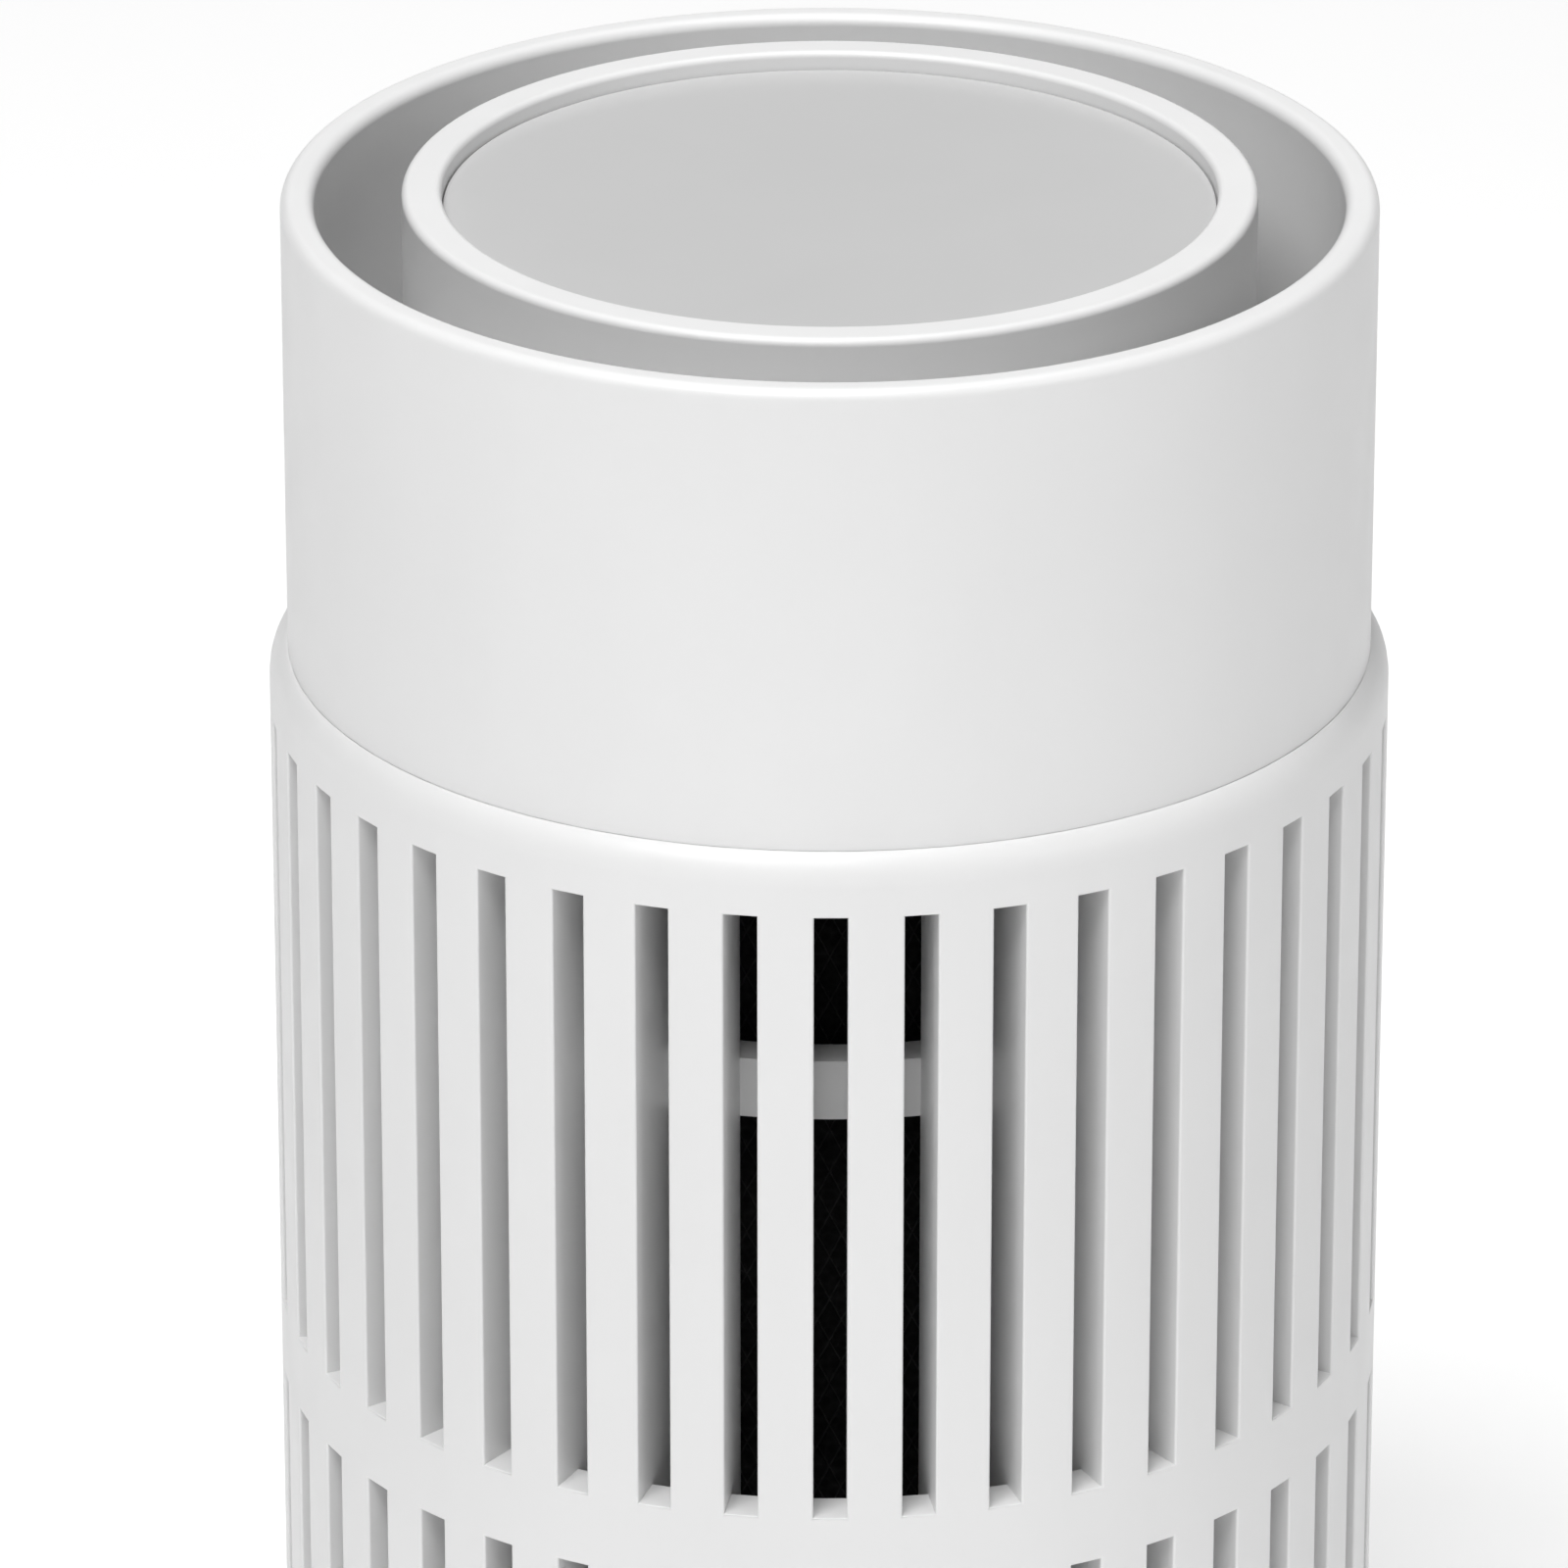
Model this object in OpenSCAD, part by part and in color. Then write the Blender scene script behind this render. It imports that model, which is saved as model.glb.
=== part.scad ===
// Desktop air purifier: a slotted sleeve under a smooth collar, with a ring-shaped outlet round a control pod.
// Millimetres. The origin is on the floor under the centre of the base, +Z is up and the front faces -Y.

/* [Body] */
// Outer diameter of the slotted sleeve
body_d = 150; // [125:1:190]
// Height from the floor to the rim of the collar
body_h = 285; // [235:1:360]
// Height of the collar that shows above the sleeve
collar_show = 63.4; // [58:0.1:90]
// Radial step from the sleeve in to the collar
collar_step = 2.5; // [2:0.1:3.5]
// Wall of the collar below its thick rim
collar_wall = 2.6; // [2:0.1:3.5]
// Wall of the slotted sleeve
sleeve_wall = 3.2; // [2.6:0.1:4.2]
// Radius of the rounded shoulder at the top of the sleeve
shoulder_r = 5.1; // [3.6:0.1:6]

/* [Grille] */
// Number of slots in one row
slot_count = 40; // [24:4:48]
// Width of a slot
slot_w = 4.4; // [3:0.1:6]
// Depth of a slot, from the outer wall in to the edge of its fins
slot_depth = 13.5; // [9:0.5:17]
// How far a slot's sill reaches in before the slot runs on behind the plain band
sill_depth = 5.9; // [4:0.1:8]
// Thickness of the fins on both sides of a slot
fin_t = 1.4; // [1:0.1:1.8]
// Number of rows of slots
slot_rows = 2; // [1:1:4]
// Height of the plain band between two rows
band_h = 10.7; // [6:0.1:20]
// Height of the plain band under the slots
lower_band = 15.9; // [15:0.1:30]
// Distance from the top of the sleeve down to the slots
slot_drop = 8.4; // [7:0.1:14]
// Height of the hoop that joins the fins of a row
hoop_h = 8.3; // [4:0.1:14]
// Radial width of that hoop
hoop_w = 5.5; // [3:0.1:8]
// Distance from the top of a row down to its hoop
hoop_drop = 26.3; // [8:0.1:40]

/* [Outlet] */
// Thickness of the collar's rim
rim_w = 4.5; // [3.5:0.1:7]
// Radius of the rounded edges of the rim
rim_round = 1.6; // [0.5:0.1:1.7]
// Width of the ring-shaped outlet
channel_w = 11.5; // [8:0.1:16]
// Depth from the rim down to the outlet vanes
channel_depth = 34; // [28:0.5:40]
// Number of outlet vanes
vane_count = 36; // [12:1:48]

/* [Control pod] */
// Width of the flat ring round the control panel
ring_w = 5.3; // [4:0.1:8]
// Height of that ring above the rim of the collar
ring_proud = 0.8; // [0:0.1:3]
// Depth of the panel below the top of its ring
panel_recess = 2.5; // [1:0.1:5]
// Thickness of the panel
panel_t = 2; // [1.5:0.1:4]
// Wall of the pod
pod_wall = 2.2; // [1.6:0.1:3]

/* [Filter] */
// Clearance between the filter and the hoops that slide past it
filter_gap = 1; // [0.6:0.1:4]
// Thickness of the carbon layer
carbon_t = 3.3; // [2:0.1:6]
// Depth of the pleats of the paper
pleat_depth = 13; // [8:0.5:18]
// Number of pleats
pleat_count = 60; // [30:2:90]
// Thickness of the foam gasket on top of the filter
gasket_t = 3; // [2:0.5:5]

/* [Fan] */
// Number of impeller blades
blade_count = 11; // [5:1:15]
// Diameter of the motor's steel can
motor_d = 43.4; // [34:0.2:46]
// Diameter of the motor shaft
shaft_d = 3; // [2:0.5:4]

/* [Base] */
// Height of the rubber feet that shows under the base
foot_h = 2.5; // [1:0.1:6]
// Diameter of a rubber foot
foot_d = 14; // [10:1:20]
// Height of the plinth
plinth_h = 10.5; // [9:0.5:20]
// Height of the shadow gap between the plinth and the sleeve
shadow_gap = 1; // [0.5:0.1:3]
// Height of the step that centres the tower on the base
step_h = 3; // [3:0.5:6]
// Diameter of a retaining magnet
magnet_d = 6; // [4:0.5:7]

/* [Hidden] */

$fn = 96;
FRONT = -90;        // angle of the front
BACK = 90;          // angle of the back
fit = 0.2;          // clearance between pieces that nest and stay put
run = 0.6;          // clearance round the impeller
bore_run = 0.02;    // clearance between the shaft and its bearings
cut = 1;            // how far a cutting shape runs past what it cuts

// Radii, from the outside in
body_r = body_d / 2;
sleeve_in = body_r - sleeve_wall;
collar_r = body_r - collar_step;
collar_in = collar_r - collar_wall;
rim_in = collar_r - rim_w;
pod_r = rim_in - channel_w;
panel_r = pod_r - ring_w;
fin_in = body_r - slot_depth;
hoop_in = fin_in - hoop_w;
cap_r = hoop_in - filter_gap;
cap_lip = 0.8;
carbon_r = cap_r - cap_lip - fit;
pleat_r = carbon_r - carbon_t - fit;
core_r = pleat_r - pleat_depth - fit;
core_t = 1.2;

// Heights, from the floor up
base_top = foot_h + plinth_h;
step_top = base_top + step_h;
sleeve_z = base_top + shadow_gap;
sleeve_top = body_h - collar_show;
slots_top = sleeve_top - slot_drop;
slots_z = sleeve_z + lower_band;
slot_h = (slots_top - slots_z - band_h * (slot_rows - 1)) / slot_rows;
flange_t = 1.5;
way_step = 0.2; // how much narrower the ways behind the sills are, to a side
deck_z = slots_top + flange_t;
deck_t = 3.4;
skirt_z = deck_z + 0.1;
cap_t = 2.4;
cap_lip_h = 5;
gasket_gap = 0.2;
filter_z = step_top;
filter_top = deck_z - gasket_gap - gasket_t;
media_z = filter_z + cap_t;
media_top = filter_top - cap_t;
media_h = media_top - media_z;
vane_top = body_h - channel_depth;
vane_h = 8;
hub_t = 3;
hub_z = vane_top - hub_t;
ring_top = body_h + ring_proud;
panel_top = ring_top - panel_recess;
panel_z = panel_top - panel_t;

// Base
plinth_r = body_r - 1.5;
plinth_wall = 2.5;
step_r = sleeve_in - 0.5;
seat_wall = 1.8;
seat_h = 6;
plate_t = 3;
foot_ring = body_r * 0.76;
foot_recess = 1;
magnet_h = 3;
magnet_wall = 1.2;
magnet_ring = sleeve_in - magnet_d / 2 - magnet_wall + 0.4;
magnet_boss_h = magnet_h + 2;
post_d = 7;

// Deck, diffuser and collar fixings
screw_d = 2.5;
screw_hole_d = 3.2;
pilot_d = 2.6;
head_d = 5.4;
head_h = 2;
post_drop = 0.3; // the posts stop short of the ring's top
post_ring = rim_in - post_d / 2;
boss_d = 6.4;
boss_ring = collar_in - boss_d / 2 + 0.4;
boss_h = vane_h + 0.2;
ring_h = 12;
tab_t = 2.5;
tab_z = vane_top - boss_h - 0.3;

// Impeller and motor
impeller_r = pod_r - 6.5;
inlet_r = impeller_r - 12;
guard_recess = 1.5;
guard_seat = 2.8;
impeller_z = deck_z + deck_t + 3.2;
impeller_top = hub_z - 8;
shroud_t = 1.5;
backplate_t = 2;
blade_t = 1.6;
blade_in = motor_d / 2 + 5;
can_r = motor_d / 2;
can_t = 1.2;
hub_wall = 2.2;
can_z = impeller_z + 5;
can_top = impeller_top + 2;
magnet_t = 2.3;
stator_r = can_r - can_t - magnet_t - 0.7;
stator_z = can_z + 6;
stator_top = can_top - 2;
tube_in = shaft_d / 2 + 2.5;
tube_r = tube_in + 1.2;
bearing_h = 4;
bracket_t = 2.5;
bracket_z = hub_z - bracket_t;
teeth = 9;

// Pod
pod_seam = ring_top - 20;
lap = 6;
ledge_w = 6.7;
ledge_t = 2;
touch_t = 1.6;
touch_gap = 1.7;
touch_z = panel_z - ledge_t - touch_gap - touch_t;
touch_r = pod_r - pod_wall - 4.6;
touch_screw_ring = panel_r - 4.2;
board_r = pod_r * 0.7;
standoff_h = 5;
board_z = vane_top + standoff_h;
board_t = 1.6;
board_ring = board_r - 4;
board_angle = 20;
pod_boss_ring = pod_r - pod_wall - 3;

// Inlet jack, and its lead inside the rib beside the slot at the back
jack_z = sleeve_z + lower_band / 2 + 1;
jack_r = 4;
jack_flange_r = 5.5;
jack_flange_t = 1.2;
jack_seat = body_r - 1.4;
jack_pad = sleeve_in - 2.3;
jack_tail = jack_pad - 3.2;
nut_t = 2.5;
nut_r = 5.8;
plug_r = 2.75;
plug_depth = 8;
lead_r = 1;
lead_turn = 180 / slot_count;
lead_angle = BACK + lead_turn;
lead_ring = post_ring + 1;
lead_rise = (cap_r + fin_in) / 2 + 1.4;
lead_hole = pod_r - 11.7;

// ---------------------------------------------------------------- shared shapes

module tube(r_out, r_in, z0, z1) {
    translate([0, 0, z0])
        difference() {
            cylinder(r = r_out, h = z1 - z0);
            translate([0, 0, -cut]) cylinder(r = r_in, h = z1 - z0 + 2 * cut);
        }
}

module disc(r, z0, z1) {
    translate([0, 0, z0]) cylinder(r = r, h = z1 - z0);
}

// Copies its children round the Z axis
module around(n, first = 0) {
    for (k = [0:n - 1]) rotate(first + k * 360 / n) children();
}

// Upright bar of a turned profile, with its two top corners rounded
module bar_profile(x0, x1, z0, z1, round_in, round_out) {
    translate([x0, z0]) square([round_in, z1 - z0 - round_in]);
    translate([x0 + round_in, z0]) square([x1 - x0 - round_in - round_out, z1 - z0]);
    translate([x1 - round_out, z0]) square([round_out, z1 - z0 - round_out]);
    translate([x0 + round_in, z1 - round_in]) circle(round_in);
    translate([x1 - round_out, z1 - round_out]) circle(round_out);
}

// Pan-head screw pointing up, with its head's underside at z = 0
module screw(length) {
    translate([0, 0, -head_h])
        difference() {
            cylinder(d = head_d, h = head_h);
            for (a = [0, 90])
                rotate(a) translate([-1.6, -0.35, -cut]) cube([3.2, 0.7, cut + 0.9]);
        }
    cylinder(d = screw_d, h = length);
}

module at(r, z) {
    translate([r, 0, z]) children();
}

// Points of a smooth line through the points p, n to a stretch (Catmull-Rom)
function mid_point(a, b, c, d, t) =
    0.5 * (2 * b + (c - a) * t + (2 * a - 5 * b + 4 * c - d) * t * t + (3 * b - a - 3 * c + d) * t * t * t);
function smooth(p, n) = let (last = len(p) - 1) [
    for (i = [0:last - 1], k = [0:n - 1])
        mid_point(p[max(i - 1, 0)], p[i], p[i + 1], p[min(i + 2, last)], k / n),
    p[last]
];

function unit(v) = v / norm(v);

// Round lead of radius r through the points [distance from the axis, height, angle]
module lead(route, r, sides = 8) {
    p = [for (q = smooth(route, 3)) [q[0] * cos(q[2]), q[0] * sin(q[2]), q[1]]];
    n = len(p);
    function along(i) = unit(p[min(i + 1, n - 1)] - p[max(i - 1, 0)]);
    function across(i) =
        let (t = along(i), e = unit([-p[i][1], p[i][0], 0])) unit(e - (e * t) * t);
    points = [
        for (i = [0:n - 1], k = [0:sides - 1])
            let (u = across(i), v = cross(along(i), u), a = k * 360 / sides)
                p[i] + r * cos(a) * u + r * sin(a) * v
    ];
    side_faces = [
        for (i = [0:n - 2], k = [0:sides - 1])
            let (k2 = (k + 1) % sides, a = i * sides, b = a + sides)
                [a + k, b + k, b + k2, a + k2]
    ];
    first_end = [for (k = [0:sides - 1]) k];
    last_end = [for (k = [sides - 1:-1:0]) (n - 1) * sides + k];
    polyhedron(points, concat(side_faces, [first_end, last_end]), convexity = 6);
}

// ---------------------------------------------------------------- base

module base_tray() {
    color("whitesmoke")
        difference() {
            union() {
                rotate_extrude() plinth_profile();
                disc(step_r, base_top - 0.1, step_top);
                tube(cap_r + fit + seat_wall, cap_r + fit, step_top - 0.1, step_top + seat_h);
            }
            // hollow underside, with posts for the plate's screws
            difference() {
                disc(plinth_r - plinth_wall, foot_h - cut, base_top - plinth_wall);
                around(4, 0) at(foot_ring, foot_h + plate_t) cylinder(d = post_d, h = plinth_h);
            }
            around(4, 0) at(foot_ring, foot_h) cylinder(d = pilot_d, h = plinth_h - plinth_wall);
            around(4, 45) at(magnet_ring, step_top - magnet_h) cylinder(d = magnet_d + fit, h = magnet_h + cut);
        }
}

module plinth_profile() {
    edge = 1;
    translate([0, foot_h]) square([plinth_r, plinth_h - edge]);
    translate([0, foot_h]) square([plinth_r - edge, plinth_h]);
    translate([plinth_r - edge, base_top - edge]) circle(edge);
}

module base_plate() {
    color("gainsboro")
        difference() {
            disc(plinth_r - plinth_wall - fit, foot_h, foot_h + plate_t);
            around(4, 0) at(foot_ring, foot_h - cut) cylinder(d = screw_hole_d, h = plate_t + 2 * cut);
            around(4, 0) at(foot_ring, foot_h - cut) cylinder(d = head_d + 2 * fit, h = cut + head_h);
            around(4, 45) at(foot_ring, foot_h - cut) cylinder(d = foot_d + 2 * fit, h = cut + foot_recess);
        }
}

module base_screws() {
    color("silver") around(4, 0) at(foot_ring, foot_h + head_h) screw(5.5);
}

module rubber_feet() {
    color("dimgray")
        around(4, 45) at(foot_ring, 0) {
            cylinder(d1 = foot_d - 1.6, d2 = foot_d, h = 0.8);
            translate([0, 0, 0.8]) cylinder(d = foot_d, h = foot_h + foot_recess - 0.8);
        }
}

module base_magnets() {
    color("lightgray") around(4, 45) at(magnet_ring, step_top - magnet_h) cylinder(d = magnet_d, h = magnet_h - 0.1);
}

// ---------------------------------------------------------------- filter

module filter_bottom_cap() {
    color("#202020") {
        disc(cap_r, filter_z, media_z);
        tube(cap_r, cap_r - cap_lip, media_z - 0.1, media_z + cap_lip_h);
    }
}

module filter_top_cap() {
    color("#202020") {
        tube(cap_r, core_r - core_t, media_top, filter_top);
        tube(cap_r, cap_r - cap_lip, media_top - cap_lip_h, media_top + 0.1);
    }
}

module filter_gasket() {
    color("dimgray") tube(core_r + 12, core_r + 4, filter_top, filter_top + gasket_t);
}

module filter_core() {
    rings = 7;
    color("whitesmoke") {
        for (k = [0:rings - 1])
            let (z = media_z + k * (media_h - 2.4) / (rings - 1)) tube(core_r, core_r - core_t, z, z + 2.4);
        around(16)
            translate([core_r - core_t, -1.1, media_z]) cube([core_t - 0.05, 2.2, media_h]);
    }
}

// One closed zigzag outline between the radii r0 and r1
function pleats(r0, r1) = [
    for (k = [0:2 * pleat_count - 1])
        let (a = k * 180 / pleat_count, r = k % 2 == 0 ? r1 : r0) [r * cos(a), r * sin(a)]
];

module hepa_pleats() {
    paper = 2.2;
    color("white")
        translate([0, 0, media_z])
            linear_extrude(media_h)
                difference() {
                    polygon(pleats(core_r + fit + paper, pleat_r));
                    polygon(pleats(core_r + fit, pleat_r - paper));
                }
}

module carbon_sleeve() {
    color("#151515") tube(carbon_r, carbon_r - carbon_t, media_z, media_top);
}

// ---------------------------------------------------------------- sleeve and what it carries

// The sleeve's shoulder runs from a narrow land beside the collar down to the outer wall
shoulder_land = 0.3;
shoulder_h = sqrt(pow(shoulder_r, 2) - pow(shoulder_r - collar_step + shoulder_land, 2));
shoulder_z = sleeve_top - shoulder_h;

function row_z(row) = slots_z + row * (slot_h + band_h);

module sleeve_profile() {
    difference() {
        union() {
            translate([sleeve_in, sleeve_z]) square([sleeve_wall, shoulder_z - sleeve_z]);
            translate([fin_in, slots_z - flange_t])
                square([sleeve_in - fin_in + 0.1, deck_z - slots_z + flange_t]);
            intersection() {
                translate([body_r - shoulder_r, shoulder_z]) circle(shoulder_r);
                translate([sleeve_in, shoulder_z - 0.1]) square([sleeve_wall, shoulder_h + 0.1]);
            }
        }
        // socket for the collar's skirt, with the groove for its snap bead
        translate([sleeve_in - cut, deck_z]) square([collar_r - sleeve_in + cut, sleeve_top]);
        translate([0, skirt_z + 1]) polygon(snap_bead(collar_r, 0.2));
    }
}

// Outline of a snap bead that stands out of radius r, grown by grow
function snap_bead(r, grow) = [
    [r - 0.5, -grow], [r, -grow], [r + 0.3 + grow, 0.8 - grow],
    [r + 0.3 + grow, 1.2 + grow], [r, 2 + grow], [r - 0.5, 2 + grow]
];

// Half the room between the two fins inside a rib, at the distance x from the axis
function rib_room(x) =
    let (half_pitch = 180 / slot_count)
        max(0.1, x * tan(half_pitch) - (slot_w / 2 + fin_t) / cos(half_pitch));

// Plan of the slots between the radii r0 and r1
module slot_plan(r0, r1, w) {
    around(slot_count, FRONT) translate([r0, -w / 2]) square([r1 - r0, w]);
}

// Plan of the hollow backs of the ribs, with the fins left standing beside them
module rib_plan() {
    inner = fin_in - cut;
    around(slot_count, FRONT + 180 / slot_count)
        polygon([[inner, -rib_room(inner)], [sleeve_in, -rib_room(sleeve_in)],
                 [sleeve_in, rib_room(sleeve_in)], [inner, rib_room(inner)]]);
}

// The slots of each row, and behind their sills the narrower ways that join the rows
module slots() {
    inner = fin_in - cut;
    for (row = [0:slot_rows - 1])
        translate([0, 0, row_z(row)]) linear_extrude(slot_h) slot_plan(inner, body_r + cut, slot_w);
    translate([0, 0, slots_z - flange_t - cut])
        linear_extrude(slots_top - slots_z - slot_h / 2)
            slot_plan(inner, body_r - sill_depth, slot_w - 2 * way_step);
}

// One hoop to a row joins the inner edges of its fins
module hoops() {
    for (row = [0:slot_rows - 1])
        let (top = row_z(row) + slot_h - hoop_drop) tube(fin_in + 0.3, hoop_in, top - hoop_h, top);
}

// Way for the lead up the inside of its rib
module lead_channel() {
    room = lead_r + fit;
    rotate(lead_angle)
        translate([fin_in - cut, -room, slots_z + 2])
            cube([lead_ring + room - fin_in + cut, 2 * room, deck_z - slots_z]);
}

// Turns a shape that points up into one that points out of the back, at the jack's height
module at_jack(y) {
    translate([0, y, jack_z]) rotate([-90, 0, 0]) children();
}

module grille_sleeve() {
    color("whitesmoke")
        difference() {
            union() {
                difference() {
                    rotate_extrude() sleeve_profile();
                    slots();
                    translate([0, 0, slots_z]) linear_extrude(slots_top - slots_z) rib_plan();
                    lead_channel();
                }
                hoops();
                around(4, 45) magnet_boss();
                at_jack(jack_pad) cylinder(r = nut_r + 0.4, h = sleeve_in - jack_pad + 1);
            }
            around(4, 45) at(magnet_ring, step_top - cut) cylinder(d = magnet_d + fit, h = magnet_h + cut);
            at_jack(jack_pad - cut) cylinder(r = jack_r + 0.1, h = sleeve_wall + 10);
            at_jack(jack_seat) cylinder(r = jack_flange_r + fit, h = 5);
        }
}

module magnet_boss() {
    intersection() {
        at(magnet_ring, step_top) cylinder(d = magnet_d + 2 * magnet_wall + 1, h = magnet_boss_h);
        disc(sleeve_in + 1, step_top, step_top + magnet_boss_h);
    }
}

module tower_magnets() {
    color("lightgray") around(4, 45) at(magnet_ring, step_top + 0.1) cylinder(d = magnet_d, h = magnet_h - 0.1);
}

module dc_jack() {
    color("#202020")
        difference() {
            union() {
                at_jack(jack_tail) cylinder(r = jack_r, h = jack_seat - jack_tail + 0.1);
                at_jack(jack_seat) cylinder(r = jack_flange_r, h = jack_flange_t);
            }
            at_jack(jack_seat + jack_flange_t - plug_depth)
                difference() {
                    cylinder(r = plug_r, h = plug_depth + cut);
                    translate([0, 0, -cut]) cylinder(r = 1, h = plug_depth);
                }
        }
}

module jack_nut() {
    color("silver")
        at_jack(jack_pad - nut_t)
            difference() {
                cylinder(r = nut_r, h = nut_t - 0.05, $fn = 6);
                translate([0, 0, -cut]) cylinder(r = jack_r + 0.05, h = nut_t + 2 * cut);
            }
}

module dc_lead() {
    over = (impeller_top + hub_z) / 2 + 0.6;
    route = [
        [jack_tail, jack_z, 0], [jack_tail - 2.5, jack_z, 0], [lead_rise + 1, jack_z + 1.5, 0.3],
        [lead_rise, jack_z + 6, lead_turn * 0.4], [lead_rise, slots_z + 6, lead_turn],
        [lead_rise + 0.6, slots_z + 12, lead_turn], [lead_ring - 0.8, slots_z + 22, lead_turn],
        for (k = [0:8]) [lead_ring, slots_z + 30 + k * (deck_z - slots_z - 26) / 8, lead_turn],
        [lead_ring, over - 8, lead_turn], [lead_ring - 1.2, over - 2.5, lead_turn],
        [lead_ring - 5, over - 0.3, lead_turn], [pod_r, over, lead_turn],
        [lead_hole + 5.5, over, lead_turn], [lead_hole + 1.6, over + 1, lead_turn],
        [lead_hole, over + 4.5, lead_turn], [lead_hole, board_z, lead_turn],
        [lead_hole - 1.4, board_z + 3.4, lead_turn], [lead_hole - 3.8, board_z + 4.4, lead_turn],
        [lead_hole - 5.95, board_z + 4.4, lead_turn]
    ];
    color("#202020") rotate(BACK) lead(route, lead_r);
}

// ---------------------------------------------------------------- collar and air path

module upper_collar() {
    color("whitesmoke")
        difference() {
            union() {
                rotate_extrude() collar_profile();
                around(4, 22.5)
                    intersection() {
                        at(boss_ring, vane_top - boss_h) cylinder(d = boss_d, h = boss_h);
                        disc(collar_in + 0.5, 0, body_h);
                    }
            }
            around(4, 22.5) at(boss_ring, vane_top - boss_h - cut) cylinder(d = pilot_d, h = boss_h);
        }
}

module collar_profile() {
    difference() {
        union() {
            bar_profile(rim_in, collar_r, sleeve_top, body_h, rim_round, rim_round);
            translate([rim_in, skirt_z]) square([collar_r - fit - rim_in, sleeve_top - skirt_z + 0.1]);
            translate([0, skirt_z + 1]) polygon(snap_bead(collar_r - fit, 0));
        }
        translate([rim_in - cut, skirt_z - cut])
            square([collar_in - rim_in + cut, vane_top - skirt_z + cut]);
    }
}

module inlet_deck() {
    color("gainsboro")
        difference() {
            union() {
                disc(collar_in - fit, deck_z, deck_z + deck_t);
                tube(inlet_r + 1.4, inlet_r, deck_z, impeller_z + shroud_t - run - 0.2);
            }
            disc(inlet_r, deck_z - cut, impeller_z + 2);
            disc(inlet_r + guard_seat, deck_z - cut, deck_z + guard_recess);
            around(4, 67.5) at(post_ring, deck_z - cut) cylinder(d = screw_hole_d, h = deck_t + 2 * cut);
            around(4, 67.5) at(post_ring, deck_z - cut) cylinder(d = head_d + 2 * fit, h = head_h + fit + cut);
            rotate(lead_angle) at(lead_ring, deck_z - cut) cylinder(r = lead_r + 0.8, h = deck_t + 2 * cut);
        }
}

module inlet_guard() {
    bar_w = 1.4;
    rings = 4;
    guard_top = deck_z + guard_recess - 0.05;
    color("silver") {
        tube(inlet_r + guard_seat - fit, inlet_r - 0.6, deck_z, guard_top);
        for (k = [1:rings - 1])
            let (r = inlet_r * k / rings) tube(r + bar_w / 2, r - bar_w / 2, deck_z, guard_top);
        around(6) translate([inlet_r / rings, -bar_w / 2, deck_z])
            cube([inlet_r * (rings - 1) / rings, bar_w, guard_top - deck_z]);
    }
}

module deck_screws() {
    color("silver") around(4, 67.5) at(post_ring, deck_z + head_h + fit) screw(8);
}

module diffuser() {
    slant = 32;
    color("whitesmoke")
        difference() {
            union() {
                difference() {
                    union() {
                        tube(collar_in - fit, rim_in, vane_top - ring_h, vane_top);
                        intersection() {
                            tube(rim_in + 0.5, pod_r - 0.5, vane_top - vane_h, vane_top);
                            around(vane_count, 5)
                                translate([pod_r + channel_w / 2, 0, vane_top - vane_h])
                                    rotate(slant) translate([-channel_w, -0.7, 0]) cube([2 * channel_w, 1.4, vane_h]);
                        }
                    }
                    // room for the collar's bosses
                    around(4, 22.5) at(boss_ring, vane_top - 2 * ring_h) cylinder(d = boss_d + 0.6, h = 3 * ring_h);
                }
                disc(pod_r, hub_z, vane_top);
                tube(pod_r, pod_r - pod_wall, hub_z - 2, vane_top);
                around(4, 67.5)
                    at(post_ring + 0.4, deck_z + deck_t) cylinder(d = post_d, h = vane_top - post_drop - deck_z - deck_t);
                around(4, 67.5) translate([pod_r - 1, -1, hub_z]) cube([channel_w, 2, hub_t]);
                around(4, 22.5) diffuser_tab();
                around(4, board_angle) at(board_ring, vane_top - 0.1) cylinder(d = 5, h = standoff_h + 0.1);
            }
            around(4, 22.5) at(boss_ring, tab_z - tab_t - cut) cylinder(d = screw_hole_d, h = tab_t + 2 * cut);
            around(4, 67.5) at(post_ring, deck_z) cylinder(d = pilot_d, h = deck_t + 9);
            around(4, board_angle) at(board_ring, hub_z + 1) cylinder(d = pilot_d, h = hub_t + standoff_h);
            around(4, 45) at(pod_boss_ring, hub_z - cut) cylinder(d = screw_hole_d, h = hub_t + 2 * cut);
            around(3, 30) at(can_r * 0.75, hub_z - cut) cylinder(d = screw_hole_d, h = hub_t + 2 * cut);
            // ways through for the motor's lead and the supply lead
            at(can_r * 0.55, hub_z - cut) cylinder(r = 3, h = hub_t + 2 * cut);
            rotate(lead_angle) at(lead_hole, hub_z - cut) cylinder(r = lead_r + 0.8, h = hub_t + 2 * cut);
            rotate(lead_angle) translate([lead_hole, -lead_r - 0.8, vane_top - ring_h - cut])
                cube([lead_ring - lead_hole + lead_r + 0.8, 2 * lead_r + 1.6, ring_h - hub_t - 0.4 + cut]);
        }
}

// Tab under a boss of the collar, wide enough to meet the ring on both sides of it
module diffuser_tab() {
    tab_in = boss_ring - boss_d / 2;
    intersection() {
        translate([tab_in, -boss_d, tab_z - tab_t]) cube([collar_in - tab_in, 2 * boss_d, tab_t]);
        disc(collar_in - 2 * fit, 0, vane_top);
    }
}

module diffuser_screws() {
    color("silver") around(4, 22.5) at(boss_ring, tab_z - tab_t) screw(8.5);
}

// ---------------------------------------------------------------- motor and impeller

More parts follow.
